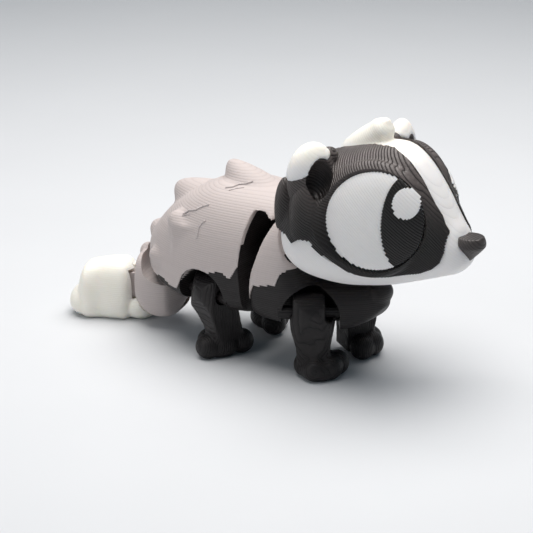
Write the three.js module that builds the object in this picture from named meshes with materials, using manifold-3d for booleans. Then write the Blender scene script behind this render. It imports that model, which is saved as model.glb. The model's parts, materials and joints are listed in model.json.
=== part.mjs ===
// A small printed toy badger with turning joints: head, front body, rear body, two tail pieces
// and four legs. Millimetres, +X forward, +Y to the badger's left, +Z up. While the pieces are
// made, the origin is the point of the floor midway between the front feet. At the end the whole
// toy is moved, so that the origin is under the middle of its box.
import * as THREE from 'three';
import { mergeVertices } from 'three/addons/utils/BufferGeometryUtils.js';
import Module from 'manifold-3d';

const wasm = await Module();
wasm.setup();

// Joints: the place of each upright pin, and how far the pieces stand turned in the photographed pose
const neck = { x: -2.2, y: 0 };
const waist = { x: -10, y: 0 };
const tailRoot = { x: -20.5, y: 0 };
const tailTurn = 13.5;
const tipHinge = { x: -4.3, y: 0 };
const tipTurn = 11;
const headTurn = -3.5;

// How far each joint swings either way, for the room cut round its tongue
const headSwing = 10;
const waistSwing = [-2, 0, 4, 8, 12, 16.5];
const tailSwing = [-22, 0, 22];

const waistLevel = { low: 8.5, high: 13.2 };
const tailLevel = { low: 2.5 };
const tipLevel = { low: 2.4, high: 4.9 };

// Fits
const seam = 0.3;
const colourSeam = 0.12;
const pinRadius = 0.55;
const neckPin = 0.9;
const barrelRadius = 1.4;
const postRadius = 1.3;
const tongue = { half: 1.0 };
const pinPlay = 0.25;
const barrelPlay = 0.35;
const tidyEdge = 0.03;

// The black inside of the front body: where it ends in front, and half its width
const chestInside = { front: -4.2, half: 2.6 };

// The black inside of the rear body: thickness of the grey skin over it, and its own box
const skin = 0.7;
const core = { back: -13.8, low: 5, high: 15 };
const bellyInset = 0.12;

// Legs: place of the axle, its height, the turn of the leg's outer face from straight sideways
// towards the head, and how far the foot stands in from the axle. Each outer face is an outline of
// points along the axle and up.
const frontLeg = { x: -1.4, y: 4.1, z: 6.4, turn: 35, lean: 0.1 };
const rearLeg = { x: -12.1, y: 5.1, z: 6.4, turn: -15, lean: 1.2 };
const legTop = 9.4;
const legFoot = 0.5;
const frontFace = [
  [-1.6, legTop], [-1.6, 6.4], [-1.95, 6.1], [-1.85, 5.0], [-1.35, 3.2], [-1.1, legFoot], [1.8, legFoot],
  [1.9, 3.4], [2.3, 5.6], [2.45, 6.4], [2.2, 6.1], [1.8, 5.7], [1.35, 6.1], [1.35, legTop],
];
const rearFace = [
  [-1.6, legTop], [-1.6, 6.2], [-1.4, 5.0], [-1.0, 4.0], [-0.6, 2.8], [-0.6, legFoot], [1.9, legFoot],
  [1.9, 3.0], [1.75, 5.0], [1.6, legTop],
];
const knuckleRadius = 1.8;
const legDepth = 1.6;
const shin = 3.6;
const sole = { z: 1.0, radii: [2.0, 1.9, 1.3] };
const axleRadius = 0.6;
const axleBite = 0.25;
const well = { radius: 2.75, drop: 0.15, depth: 2.3 };

// Feet: toe centres from the axle's foot point, forward and inward, with their radii
const toeRadius = 1.22;
const toeSunk = 0.08;
const frontToes = [[1.0, -0.75], [1.95, 0.45], [1.8, 1.8]];
const rearToes = [[0.2, -0.8], [1.2, 0.7], [1.9, 2.3]];
const frontHeel = [-0.25, -0.2];
const rearHeel = [-0.6, 0.6];

// Each row of a form: place along X, half width, top, bottom, height of the widest line
const headRows = [
  [-3.4, 6.0, 19.0, 12.0, 15.4],
  [-2.2, 7.4, 20.3, 10.9, 15.2],
  [-0.8, 8.0, 21.5, 10.1, 15.0],
  [0.8, 7.9, 22.2, 9.7, 15.0],
  [2.8, 7.2, 22.8, 9.5, 15.2],
  [4.8, 6.1, 23.2, 9.7, 15.5],
  [6.4, 5.2, 23.2, 10.0, 15.8],
  [8.0, 4.3, 22.4, 10.5, 15.9],
  [9.4, 3.5, 21.1, 11.0, 15.7],
  [10.8, 2.8, 19.3, 11.5, 15.4],
  [12.2, 2.2, 17.2, 12.2, 15.0],
  [13.4, 1.8, 16.0, 12.9, 14.7],
];
const frontRows = [
  [-7.6, 6.0, 12.0, 5.0, 8.0],
  [-6.0, 6.4, 15.4, 4.7, 8.2],
  [-4.6, 6.4, 16.3, 4.6, 8.2],
  [-3.6, 6.3, 16.0, 4.6, 8.0],
  [-2.8, 6.1, 12.6, 4.6, 7.6],
  [-1.6, 5.7, 9.7, 4.5, 7.1],
  [0.4, 4.7, 9.2, 4.5, 6.9],
  [1.8, 3.7, 9.1, 4.7, 6.9],
  [3.2, 2.5, 9.0, 5.4, 7.1],
  [4.2, 1.7, 8.7, 6.1, 7.3],
];
const rearRows = [
  [-22.0, 1.9, 9.6, 6.2, 7.6],
  [-21.0, 2.9, 11.0, 5.8, 8.0],
  [-19.0, 4.5, 13.2, 5.2, 7.8],
  [-16.0, 5.9, 15.4, 4.9, 7.9],
  [-13.0, 6.6, 16.8, 4.8, 8.0],
  [-10.5, 6.7, 17.0, 4.8, 8.2],
  [-8.0, 6.5, 16.6, 4.9, 8.4],
  [-6.0, 6.2, 16.5, 5.2, 9.0],
  [-4.9, 6.0, 16.4, 5.4, 9.0],
];
// The two tail pieces, each from its own hinge backwards
const tailRows = [
  [-3.1, 2.8, 7.4, 2.7, 4.4],
  [-2.2, 3.2, 7.5, 1.5, 4.1],
  [-1.0, 3.3, 7.0, 0.9, 3.8],
  [0.4, 3.1, 6.2, 1.0, 3.6],
  [1.3, 2.6, 5.4, 1.2, 3.4],
];
const tipRows = [
  [-5.2, 2.1, 5.0, -0.1, 2.3],
  [-4.4, 2.4, 5.5, -0.2, 2.5],
  [-3.0, 2.1, 5.9, -0.2, 2.6],
  [-1.6, 2.3, 6.1, -0.2, 2.8],
  [-0.4, 2.2, 6.1, -0.2, 2.8],
  [0.5, 1.5, 5.9, 0.2, 2.8],
];

// Outlines in the XZ plane
const mantleLine = [
  [-7.8, 6.4], [-7.1, 7.1], [-6.4, 8.6], [-3.9, 9.2], [-3.5, 10.3], [-2.9, 10.7], [-2.0, 10.6], [-0.6, 11.6],
];
const shellLine = [
  [-23.5, 6.4], [-20.5, 6.2], [-18.0, 6.8], [-16.6, 6.3], [-15.5, 6.4], [-14.9, 7.4], [-14.3, 8.2],
  [-13.2, 8.4], [-12.1, 8.0], [-11.5, 8.9], [-10.4, 9.25], [-9.7, 9.3], [-8.9, 8.8], [-8.2, 10.0],
  [-7.6, 11.0], [-7.2, 11.4],
];
const rearFrontFace = [
  [-7.9, 0], [-7.7, 6], [-8.1, 9.7], [-7.9, 13.0], [-7.6, 15.3], [-6.5, 15.2], [-5.2, 14.5], [-3, 14.2],
];
const frontRearFace = [
  [-4.5, 20], [-4.6, 15.6], [-5.7, 13.0], [-6.7, 9.9], [-7.3, 7.2], [-7.1, 5.2], [-6.6, 3],
];
const maskLower = [
  [-5.0, 15.2], [-3.2, 15.6], [-1.4, 15.3], [-0.9, 15.2], [-0.3, 14.5], [0.6, 15.1], [1.5, 15.0],
  [2.1, 14.2], [3.2, 13.3], [4.7, 12.0], [6.3, 11.6], [7.4, 11.7], [8.6, 12.0], [10.0, 12.5],
  [11.2, 13.4], [11.9, 14.4], [12.4, 16.2],
];
const maskFront = 12.4;
const stripeHalf = 1.5;
const maskDepth = 1.1;
const maskProud = 0.2;

// Eyes: centre on the face, turn of the face from straight sideways, half height, half length
const eye = { x: 6.4, y: 5.0, z: 17.15, turn: 25, up: 8, half: 4.6, dome: 1.05, sunk: 0.65 };
const eyeMiddle = [0.2, 0, -0.1];
const lip = { wide: 0.6, proud: 1.1, sunk: 0.7, above: 1.2 };
const pupil = { ahead: 2.65, high: 3.9, half: 1.82, deep: 0.8, sunk: 0 };
const glint = { ahead: 3.08, up: 1.78, half: 1.22, high: 1.38, deep: 0.8, sunk: -0.2 };
const ear = { x: 0.4, y: 6.1, z: 20.3, half: 2.5, high: 3.3, turn: 70, depth: 1.3, tilt: 20, cut: 0.5 };
const leftEarShift = [1.3, 0, -0.4];
const earWall = 1.1;
const rimProud = 0.15;
const nose = { x: 13.95, z: 15.65, length: 1.15, half: 1.5, high: 0.75 };
const noseTip = { x: 13.95, z: 14.8, length: 0.8, half: 0.85, high: 0.95 };

// Points of fur on the rear body, on the middle line and on the right side: middle of the foot,
// tip, thickness of the foot
const backPoints = [
  { foot: [-11.9, 0, 15.3], tip: [-13.5, 0, 18.2], thick: 2.5 },
  { foot: [-17.0, 0, 12.1], tip: [-19.9, 0, 14.5], thick: 2.6 },
  { foot: [-20.3, 0, 8.5], tip: [-22.9, 0, 9.7], thick: 2.3 },
];
const sidePoints = [
  { foot: [-14.9, -3.2, 11.0], tip: [-17.0, -5.0, 13.2], thick: 2.5 },
  { foot: [-17.7, -3.1, 8.2], tip: [-19.8, -4.7, 8.6], thick: 2.1 },
];

// The tuft on the crown
const crown = { foot: [1.5, 0, 21.4], tip: [4.9, 0, 25.4], thick: 1.75, blunt: 0.55 };

// Helpers

function shade(color, roughness) {
  return new THREE.MeshStandardMaterial({ color, roughness, metalness: 0 });
}

function manifoldOf(vertProperties, triVerts) {
  return new wasm.Manifold(new wasm.Mesh({ numProp: 3, vertProperties, triVerts }));
}

function solid(geometry) {
  const bare = geometry.clone();
  bare.deleteAttribute('normal');
  bare.deleteAttribute('uv');
  const merged = mergeVertices(bare, 1e-4);
  const corners = Array.from(merged.index.array);
  const kept = [];
  for (let i = 0; i < corners.length; i += 3) {
    const [a, b, c] = corners.slice(i, i + 3);
    if (a !== b && b !== c && a !== c) kept.push(a, b, c);
  }
  const vertProperties = new Float32Array(merged.attributes.position.array);
  const shape = manifoldOf(vertProperties, new Uint32Array(kept));
  if (shape.volume() > 0) return shape;
  return manifoldOf(vertProperties, new Uint32Array(kept.reverse()));
}

function biggest(shape) {
  return shape.decompose().reduce((best, piece) => (piece.volume() > best.volume() ? piece : best));
}

// The largest closed body of a shape, without edges too short to matter
function largest(shape) {
  return biggest(biggest(shape).simplify(tidyEdge));
}

function union(shapes) {
  return shapes.reduce((whole, shape) => whole.add(shape));
}

// The value at x of one column of a table of rows, on a smooth curve through the rows
function along(rows, column, x) {
  const last = rows.length - 1;
  let i = 0;
  while (i < last - 1 && x > rows[i + 1][0]) i += 1;
  const before = rows[Math.max(i - 1, 0)];
  const a = rows[i];
  const b = rows[i + 1];
  const after = rows[Math.min(i + 2, last)];
  const span = b[0] - a[0];
  const t = THREE.MathUtils.clamp((x - a[0]) / span, 0, 1);
  const slopeA = (b[column] - before[column]) / (b[0] - before[0]);
  const slopeB = (after[column] - a[column]) / (after[0] - a[0]);
  const t2 = t * t;
  const t3 = t2 * t;
  return (2 * t3 - 3 * t2 + 1) * a[column] + (t3 - 2 * t2 + t) * span * slopeA
    + (3 * t2 - 2 * t3) * b[column] + (t3 - t2) * span * slopeB;
}

// A closed form along X whose sections follow the rows. back and front are the lengths over which
// the ends close, upper and lower the squareness of each half section (2 is an ellipse), grow the
// distance added all over.
function loft(rows, { rings, sides, back, front, upper, lower, grow = 0 }) {
  const from = rows[0][0] - back * 0.3 - grow;
  const to = rows[rows.length - 1][0] + front * 0.3 + grow;
  const geometry = new THREE.SphereGeometry(1, sides, rings);
  const position = geometry.attributes.position;
  for (let i = 0; i < position.count; i += 1) {
    const share = (1 - THREE.MathUtils.clamp(position.getY(i), -1, 1)) / 2;
    const x = from + (to - from) * share;
    const angle = Math.atan2(position.getZ(i), position.getX(i));
    const closeBack = THREE.MathUtils.clamp((x - from) / back, 0, 1);
    const closeFront = THREE.MathUtils.clamp((to - x) / front, 0, 1);
    const cap = Math.sqrt(1 - (1 - closeBack) ** 2) * Math.sqrt(1 - (1 - closeFront) ** 2);
    const middle = along(rows, 4, x);
    const up = Math.sin(angle);
    const out = Math.cos(angle);
    const half = (along(rows, 1, x) + grow) * cap;
    const rise = (along(rows, 2, x) + grow - middle) * cap;
    const drop = (middle + grow - along(rows, 3, x)) * cap;
    const bend = 2 / (up > 0 ? upper : lower);
    const y = half * Math.sign(out) * Math.abs(out) ** bend;
    const z = middle + (up > 0 ? rise : drop) * Math.sign(up) * Math.abs(up) ** bend;
    position.setXYZ(i, x, y, z);
  }
  return solid(geometry);
}

function ellipsoid(radii, detail = 14) {
  const geometry = new THREE.SphereGeometry(1, detail, Math.round(detail * 0.6));
  geometry.scale(...radii);
  return solid(geometry);
}

function ball(x, y, z, radii, detail = 14) {
  return ellipsoid(radii, detail).translate([x, y, z]);
}

// A point of fur: round at its foot and drawn out to its tip, where blunt of its thickness is left
function furPoint({ foot, tip, thick, blunt = 0.2 }, grow = 0) {
  const start = new THREE.Vector3(...foot);
  const way = new THREE.Vector3(...tip).sub(start);
  const geometry = new THREE.SphereGeometry(1, 10, 8);
  const position = geometry.attributes.position;
  for (let i = 0; i < position.count; i += 1) {
    const rise = position.getY(i);
    const wide = (thick + grow) * (rise > 0 ? 1 - (1 - blunt) * rise : 1);
    const high = rise > 0 ? way.length() + grow : thick;
    position.setXYZ(i, position.getX(i) * wide, rise * high, position.getZ(i) * wide);
  }
  const upwards = new THREE.Vector3(0, 1, 0);
  geometry.applyQuaternion(new THREE.Quaternion().setFromUnitVectors(upwards, way.normalize()));
  return solid(geometry).translate(foot);
}

function block(x0, x1, y0, y1, z0, z1) {
  const geometry = new THREE.BoxGeometry(x1 - x0, y1 - y0, z1 - z0);
  geometry.translate((x0 + x1) / 2, (y0 + y1) / 2, (z0 + z1) / 2);
  return solid(geometry);
}

function upright(x, y, low, high, radius, sides = 14) {
  const geometry = new THREE.CylinderGeometry(radius, radius, high - low, sides);
  geometry.rotateX(Math.PI / 2);
  geometry.translate(x, y, (low + high) / 2);
  return solid(geometry);
}

// A prism of an outline in the XZ plane, from y0 to y1
function slab(points, y0, y1) {
  const shape = new THREE.Shape(points.map(([x, z]) => new THREE.Vector2(x, z)));
  const geometry = new THREE.ExtrudeGeometry(shape, { depth: y1 - y0, bevelEnabled: false });
  geometry.rotateX(Math.PI / 2);
  geometry.translate(0, y1, 0);
  return solid(geometry);
}

function turned(shape, yaw, at) {
  return shape.translate([-at.x, -at.y, 0]).rotate([0, 0, yaw]).translate([at.x, at.y, 0]);
}

function swept(shape, angles, at) {
  return union(angles.map((angle) => turned(shape, angle, at)));
}

function mirrored(shape) {
  return shape.mirror([0, 1, 0]);
}

// The space on one side of a line of XZ points: above it or below it
function side(line, above, shift = 0) {
  const edge = above ? 30 : -10;
  const points = line.map(([x, z]) => [x, z + shift]);
  const first = points[0];
  const last = points[points.length - 1];
  return slab([...points, [last[0] + 20, last[1]], [last[0] + 20, edge], [first[0] - 20, edge],
    [first[0] - 20, first[1]]], -20, 20);
}

// A rod of a given length along X, Y or Z, centred on the origin
function rod(axis, length, radius, sides = 18) {
  const geometry = new THREE.CylinderGeometry(radius, radius, length, sides);
  if (axis === 'x') geometry.rotateZ(Math.PI / 2);
  if (axis === 'z') geometry.rotateX(Math.PI / 2);
  return solid(geometry);
}

// Legs, axles and wells, made for the right side: X along the axle, -Y outwards

function placed(shape, leg) {
  return shape.rotate([0, 0, leg.turn]).translate([leg.x, -leg.y, 0]);
}

function legShape(leg, outline, toes, heel) {
  const { z, lean } = leg;
  const shank = slab([
    [-knuckleRadius, z],
    [-legDepth - lean / 2, shin],
    [-legDepth - lean, legFoot],
    [legDepth - lean, legFoot],
    [legDepth - lean / 2, shin],
    [knuckleRadius, z],
  ], -3, 3).rotate([0, 0, -90]);
  const round = rod('x', 6, knuckleRadius, 16).translate([0, 0, z]);
  const bore = rod('x', 9, axleRadius + pinPlay, 10).translate([0, 0, z]);
  const upper = placed(slab(outline, -4, 4).intersect(shank.add(round)), leg);
  const pad = [toeRadius, toeRadius, toeRadius];
  const pads = [...toes, heel].map(([x, y]) => ball(leg.x + x, -leg.y + y, toeRadius - toeSunk, pad, 8));
  const soleX = leg.x + (toes[1][0] + heel[0]) / 2;
  const soleY = -leg.y + (toes[1][1] + heel[1]) / 2;
  const pressed = ball(soleX, soleY, sole.z, sole.radii, 8);
  const whole = union([upper, ...pads, pressed]).subtract(placed(bore, leg));
  return largest(whole.subtract(block(-50, 50, -30, 30, -9, 0)));
}

function wellShape(leg) {
  const reach = well.depth + 8;
  const arch = rod('y', reach, well.radius, 18).translate([0, well.depth - reach / 2, leg.z - well.drop]);
  const below = block(-well.radius, well.radius, -8, well.depth, -3, leg.z - well.drop);
  return placed(arch.add(below), leg);
}

function axleShape(leg, radius) {
  return placed(rod('x', 2 * (well.radius + axleBite), radius, 12).translate([0, 0, leg.z]), leg);
}

const legs = [
  ['front', frontLeg, frontFace, frontToes, frontHeel],
  ['rear', rearLeg, rearFace, rearToes, rearHeel],
];
const both = (shape) => shape.add(mirrored(shape));
const wells = Object.fromEntries(legs.map(([place, leg]) => [place,
  both(wellShape(leg)).add(both(axleShape(leg, axleRadius + colourSeam)))]));

// Head, in line with the body, turned on its neck at the end

const head = (grow, rings = 20, sides = 22) => loft(headRows, { rings, sides, back: 2.6, front: 1.4,
  upper: 2.05, lower: 2.5, grow });
const headInside = (depth) => head(-depth, 12, 12);
const headFull = head(0);
const faced = (shape, part, lift = 0) => shape.rotate([-part.up, 0, 0]).translate([0, lift, 0])
  .rotate([0, 0, part.turn]).translate([part.x, -part.y, part.z]);
const eyeShape = (grow) => faced(ellipsoid([eye.half + grow, eye.dome + grow, eye.half + grow], 16)
  .translate(eyeMiddle), eye, eye.sunk);
const pupilShape = (grow) => faced(ellipsoid([pupil.half + grow, pupil.deep + grow, pupil.high + grow], 12)
  .translate([pupil.ahead, pupil.sunk, -0.1]), eye);
const glintShape = (grow) => faced(ellipsoid([glint.half + grow, glint.deep + grow, glint.high + grow], 10)
  .translate([glint.ahead, glint.sunk, glint.up]), eye);
const socket = faced(ellipsoid([eye.half + lip.wide, lip.proud, eye.half + lip.wide], 16)
  .translate(eyeMiddle), eye, lip.sunk);

const earPlace = { ...ear, up: 0 };
const earBall = (grow) => ellipsoid([ear.half + grow, ear.depth + grow, ear.high + grow], 13);
const earShape = (grow) => faced(earBall(grow), earPlace);
const cup = faced(ellipsoid([ear.half - earWall, 1.3, ear.high - earWall], 12)
  .translate([0, -1.0, -0.2]), earPlace);
const rimZone = block(-12, 12, -12, 12, 0, 12).rotate([ear.tilt, 0, 0])
  .translate([0, -ear.y, ear.z + ear.cut]);
const rimBody = (grow) => earShape(rimProud + grow);
const rim = rimBody(0).subtract(cup).intersect(rimZone);
const rimRoom = rimBody(colourSeam).intersect(rimZone.translate([0, 0, -colourSeam]));
const leftEar = (shape) => mirrored(shape).translate(leftEarShift);

const noseShape = (grow) => union([nose, noseTip].map((part) => ball(part.x, 0, part.z,
  [part.length + grow, part.half + grow, part.high + grow], 12)));
const tuft = furPoint(crown);

const rightSide = (from, front) => block(-20, front, -20, -from, -5, 40);
const maskZone = side(maskLower, true).intersect(rightSide(stripeHalf, maskFront));
const maskTight = side(maskLower, true, colourSeam)
  .intersect(rightSide(stripeHalf + colourSeam, maskFront - colourSeam));
const maskRoom = maskZone.subtract(headInside(maskDepth + seam));
const eyeRoom = union([eyeShape(colourSeam), pupilShape(colourSeam), glintShape(colourSeam)]);
const earRoom = earShape(colourSeam).add(rimRoom);
const maskBlank = head(maskProud).add(socket.intersect(head(lip.above))).intersect(maskTight)
  .subtract(headInside(maskDepth)).subtract(eyeRoom);
const neckBore = upright(neck.x, neck.y, 5, 14.4, neckPin + pinPlay);
const headCore = largest(headFull.add(tuft).subtract(both(maskRoom)).subtract(both(eyeRoom))
  .subtract(earRoom).subtract(leftEar(earRoom)).subtract(noseShape(colourSeam)).subtract(neckBore));
const eyeBody = eyeShape(0).subtract(pupilShape(colourSeam)).subtract(glintShape(colourSeam));
const pupilBody = pupilShape(0).subtract(glintShape(colourSeam));
const earBody = largest(earShape(0).subtract(cup).subtract(rimRoom));

// Front body: grey mantle over a black chest that carries the neck pin and the waist barrel

const front = (grow, rings = 18, sides = 22) => loft(frontRows, { rings, sides, back: 1.2, front: 1.6,
  upper: 2.8, lower: 4.2, grow });
const behind = slab([...frontRearFace, [-20, 3], [-20, 20]], -20, 20);
const headRoom = swept(head(seam + 0.1), [-headSwing, 0, headSwing], neck);
const frontBlank = front(0).subtract(behind).subtract(headRoom).subtract(wells.front);
const waistTongue = (grow) => block(waist.x, -4.6, -tongue.half - grow, tongue.half + grow,
  waistLevel.low - grow, waistLevel.high + grow);
const waistBarrel = (grow) => upright(waist.x, waist.y, waistLevel.low - grow, waistLevel.high + grow,
  barrelRadius + grow);
const chestCore = block(-7.1, chestInside.front, -chestInside.half, chestInside.half, 5.2, waistLevel.high)
  .intersect(front(-0.4).subtract(behind));
const chestBlack = frontBlank.intersect(side(mantleLine, false, -colourSeam)).add(chestCore)
  .add(waistTongue(0)).add(waistBarrel(0)).subtract(headRoom).subtract(wells.front);
const pinHole = (at, low, high) => upright(at.x, at.y, low, high, pinRadius + colourSeam, 10);
const neckHole = upright(neck.x, neck.y, 5, 14, neckPin + colourSeam);
const waistBore = upright(waist.x, waist.y, 5, 16, pinRadius + pinPlay, 10);
const chest = largest(chestBlack.subtract(waistBore).subtract(neckHole));
const chestWide = chestInside.half + colourSeam;
const chestRoom = block(-8, chestInside.front + colourSeam, -chestWide, chestWide, 5,
  waistLevel.high + colourSeam).add(waistTongue(colourSeam));
const mantle = largest(frontBlank.intersect(side(mantleLine, true)).subtract(chestRoom).subtract(neckHole));

// Rear body: grey shell with its roof over the waist, round a black belly

const rear = (grow, rings = 20, sides = 24) => loft(rearRows, { rings, sides, back: 1.4, front: 1.0,
  upper: 2.5, lower: 4.5, grow });
const ahead = slab([...rearFrontFace, [10, 14.2], [10, 0]], -20, 20);
const waistRoom = swept(waistTongue(barrelPlay), waistSwing, waist).add(waistBarrel(barrelPlay));
const frontRoom = swept(front(seam, 10, 14).subtract(behind.translate([-seam, 0, 0])), waistSwing, waist);
const fur = union([
  ...backPoints.map((point) => furPoint(point)),
  ...sidePoints.map((point) => both(furPoint(point))),
]);
const rearBlank = rear(0).add(fur).subtract(ahead).subtract(frontRoom);
const bellyCore = (grow) => rear(grow - skin, 14, 16)
  .intersect(block(core.back - grow, 0, -20, 20, core.low, core.high + grow));
const post = (grow) => upright(tailRoot.x, tailRoot.y, tailLevel.low - grow, 8.5, postRadius + grow);
const belly = largest(rear(-bellyInset).subtract(ahead).subtract(frontRoom)
  .intersect(side(shellLine, false, -colourSeam).add(bellyCore(0))).subtract(wells.rear).subtract(waistRoom)
  .subtract(pinHole(waist, 6, 20)).subtract(post(colourSeam)));
const shell = largest(rearBlank.intersect(side(shellLine, true)).subtract(bellyCore(colourSeam))
  .subtract(waistRoom).subtract(wells.rear).subtract(pinHole(waist, 6, 15.2))
  .add(post(0)).subtract(upright(tailRoot.x, tailRoot.y, 0, 6.4, pinRadius + pinPlay, 10)));

// Tail: a grey base in a socket under the rear body, and a white tip forked round the base's barrel

const tipTongue = (grow) => block(tipHinge.x, -2.4, -0.7 - grow, 0.7 + grow, tipLevel.low - grow,
  tipLevel.high + grow).add(upright(tipHinge.x, 0, tipLevel.low - grow, tipLevel.high + grow, 1.15 + grow));
const tailForm = (grow) => loft(tailRows, { rings: 8, sides: 14, back: 0.8, front: 1.4,
  upper: 2.6, lower: 2.6, grow });
const tailHere = (shape) => turned(shape.translate([tailRoot.x, tailRoot.y, 0]), tailTurn, tailRoot);
const tailBlank = tailHere(tailForm(0).add(ball(-2.5, 0, 7.0, [0.9, 0.8, 1.0], 8)).add(tipTongue(0))
  .subtract(upright(tipHinge.x, 0, 0, 9, pinRadius + pinPlay, 10)));
const tailBase = largest(tailBlank.subtract(swept(rear(seam), tailSwing, tailRoot))
  .subtract(post(barrelPlay)).subtract(pinHole(tailRoot, 0.8, 9)));
const tipForm = union([
  loft(tipRows, { rings: 10, sides: 14, back: 0.9, front: 1.8, upper: 2.8, lower: 2.8 }),
  ball(-5.0, 0.2, 1.4, [1.5, 2.2, 1.6], 10),
  ball(0.8, 0, 1.3, [1.8, 2.0, 1.5], 10),
]);
const tipPocket = swept(tipTongue(barrelPlay).translate([-tipHinge.x, 0, 0]), tailSwing, { x: 0, y: 0 });
const tipRoom = swept(tailForm(seam).translate([-tipHinge.x, 0, 0]), tailSwing, { x: 0, y: 0 });
const tipLocal = tipForm.subtract(tipPocket).subtract(tipRoom).subtract(pinHole({ x: 0, y: 0 }, 0.8, 9))
  .subtract(block(-20, 20, -20, 20, -5, 0));
const tipHere = (shape) => tailHere(turned(shape, tipTurn, { x: 0, y: 0 }).translate([tipHinge.x, 0, 0]));
const tailTip = largest(tipHere(tipLocal));

// Assembly

const toy = new THREE.Group();
const black = [0x1b1a1c, 0.5];
const white = [0xeef0f2, 0.45];
const grey = [0xb9aeb0, 0.55];
const cream = [0xf2efe2, 0.5];

function add(name, shape, [color, roughness]) {
  const mesh = shape.getMesh();
  const geometry = new THREE.BufferGeometry();
  geometry.setAttribute('position', new THREE.BufferAttribute(mesh.vertProperties, 3));
  geometry.setIndex(new THREE.BufferAttribute(mesh.triVerts, 1));
  geometry.computeVertexNormals();
  const piece = new THREE.Mesh(geometry, shade(color, roughness));
  piece.name = name;
  toy.add(piece);
}

function addBoth(name, shape, look, place = (side) => side) {
  add(`${name}_R`, place(shape), look);
  add(`${name}_L`, place(mirrored(shape)), look);
}

const onNeck = (shape) => turned(shape, headTurn, neck);
add('head_core', onNeck(headCore), white);
add('head_mask_R', onNeck(largest(maskBlank.subtract(earRoom))), black);
add('head_mask_L', onNeck(largest(mirrored(maskBlank).subtract(leftEar(earRoom)))), black);
addBoth('eye', eyeBody, white, onNeck);
addBoth('pupil', pupilBody, black, onNeck);
addBoth('glint', glintShape(0), white, onNeck);
add('ear_R', onNeck(earBody), black);
add('ear_L', onNeck(largest(leftEar(earBody).subtract(mirrored(eyeRoom)))), black);
add('ear_rim_R', onNeck(rim), white);
add('ear_rim_L', onNeck(leftEar(rim)), white);
add('nose', onNeck(noseShape(0)), black);
add('front_mantle', mantle, grey);
add('front_chest', chest, black);
add('rear_shell', shell, grey);
add('rear_belly', belly, black);
legs.forEach(([place, leg, ...outlines]) => {
  addBoth(`${place}_leg`, legShape(leg, ...outlines), black);
  addBoth(`${place}_axle`, axleShape(leg, axleRadius), black);
});
add('tail_base', tailBase, grey);
add('tail_tip', tailTip, cream);
add('neck_pin', upright(neck.x, neck.y, 5.1, 13.8, neckPin), black);
add('waist_pin', upright(waist.x, waist.y, 6.1, 15, pinRadius, 10), black);
add('tail_pin', upright(tailRoot.x, tailRoot.y, 0.95, 6.0, pinRadius, 10), grey);
add('tip_pin', tipHere(upright(0, 0, 0.95, 5.6, pinRadius, 10)), cream);

const box = new THREE.Box3().setFromObject(toy);
toy.position.set(-(box.min.x + box.max.x) / 2, -(box.min.y + box.max.y) / 2, -box.min.z);

export default toy;
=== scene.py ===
"""A small printed toy badger with turning joints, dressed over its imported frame.

Shapes are made in millimetres with the floor point midway between the front feet as origin, as the
frame's own solids were, and each finished piece is moved to the frame's metres.
"""
import json
from math import atan2, copysign, cos, floor, pi, radians, sin, sqrt

import bmesh
import bpy
from mathutils import Euler, Matrix, Vector
from mathutils.bvhtree import BVHTree


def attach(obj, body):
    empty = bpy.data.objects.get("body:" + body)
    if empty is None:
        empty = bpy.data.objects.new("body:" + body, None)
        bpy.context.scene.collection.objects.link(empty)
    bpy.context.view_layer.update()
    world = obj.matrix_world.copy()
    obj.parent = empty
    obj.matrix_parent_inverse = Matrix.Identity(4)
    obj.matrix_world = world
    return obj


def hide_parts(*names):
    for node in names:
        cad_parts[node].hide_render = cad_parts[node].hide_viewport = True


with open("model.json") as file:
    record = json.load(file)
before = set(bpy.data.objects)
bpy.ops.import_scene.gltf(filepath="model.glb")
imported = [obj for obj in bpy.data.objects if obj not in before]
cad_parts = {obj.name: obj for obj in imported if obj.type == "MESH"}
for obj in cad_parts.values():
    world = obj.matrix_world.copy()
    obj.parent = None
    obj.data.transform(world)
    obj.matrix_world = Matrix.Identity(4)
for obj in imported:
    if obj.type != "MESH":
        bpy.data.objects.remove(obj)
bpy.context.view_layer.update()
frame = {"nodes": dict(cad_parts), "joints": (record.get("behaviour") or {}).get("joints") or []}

# Table, light and camera.
# The toy stands on a plain pale sheet that runs out of the picture behind it. A large soft lamp
# hangs close over it, so that the sheet darkens behind, and a weaker one stands left of the camera.

scene = bpy.context.scene
scene.view_settings.view_transform = "Standard"

NECK = Vector((-2.2, 0.0, 12.0))
neck_joint = next(joint for joint in frame["joints"] if joint["name"] == "neck_yaw")
TO_FRAME = Matrix.Scale(0.001, 4) @ Matrix.Translation(Vector(neck_joint["pos_m"]) * 1000 - NECK)

CAMERA_AZIMUTH = 34.5
CAMERA_HEIGHT_ANGLE = 20.0
CAMERA_DISTANCE = 220.0
LOOK_AT = Vector((-8.036, -1.642, 8.788))


def direction(azimuth, elevation):
    """The way from the toy to a place at this azimuth and height angle, 0 being the toy's right."""
    a, e = radians(azimuth), radians(elevation)
    return Vector((sin(a) * cos(e), -cos(a) * cos(e), sin(e)))


def aimed(place, target):
    """A matrix that puts a lamp or camera at a place and turns it to a target, both in mm."""
    there, there_to = TO_FRAME @ place, TO_FRAME @ target
    return Matrix.Translation(there) @ (there_to - there).to_track_quat("-Z", "Y").to_matrix().to_4x4()


camera_data = bpy.data.cameras.new("camera")
camera_data.lens = 156.0
camera_data.clip_start = 0.01
camera = bpy.data.objects.new("camera", camera_data)
scene.collection.objects.link(camera)
camera.matrix_world = aimed(
    LOOK_AT + direction(CAMERA_AZIMUTH, CAMERA_HEIGHT_ANGLE) * CAMERA_DISTANCE, LOOK_AT)
scene.camera = camera


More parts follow.
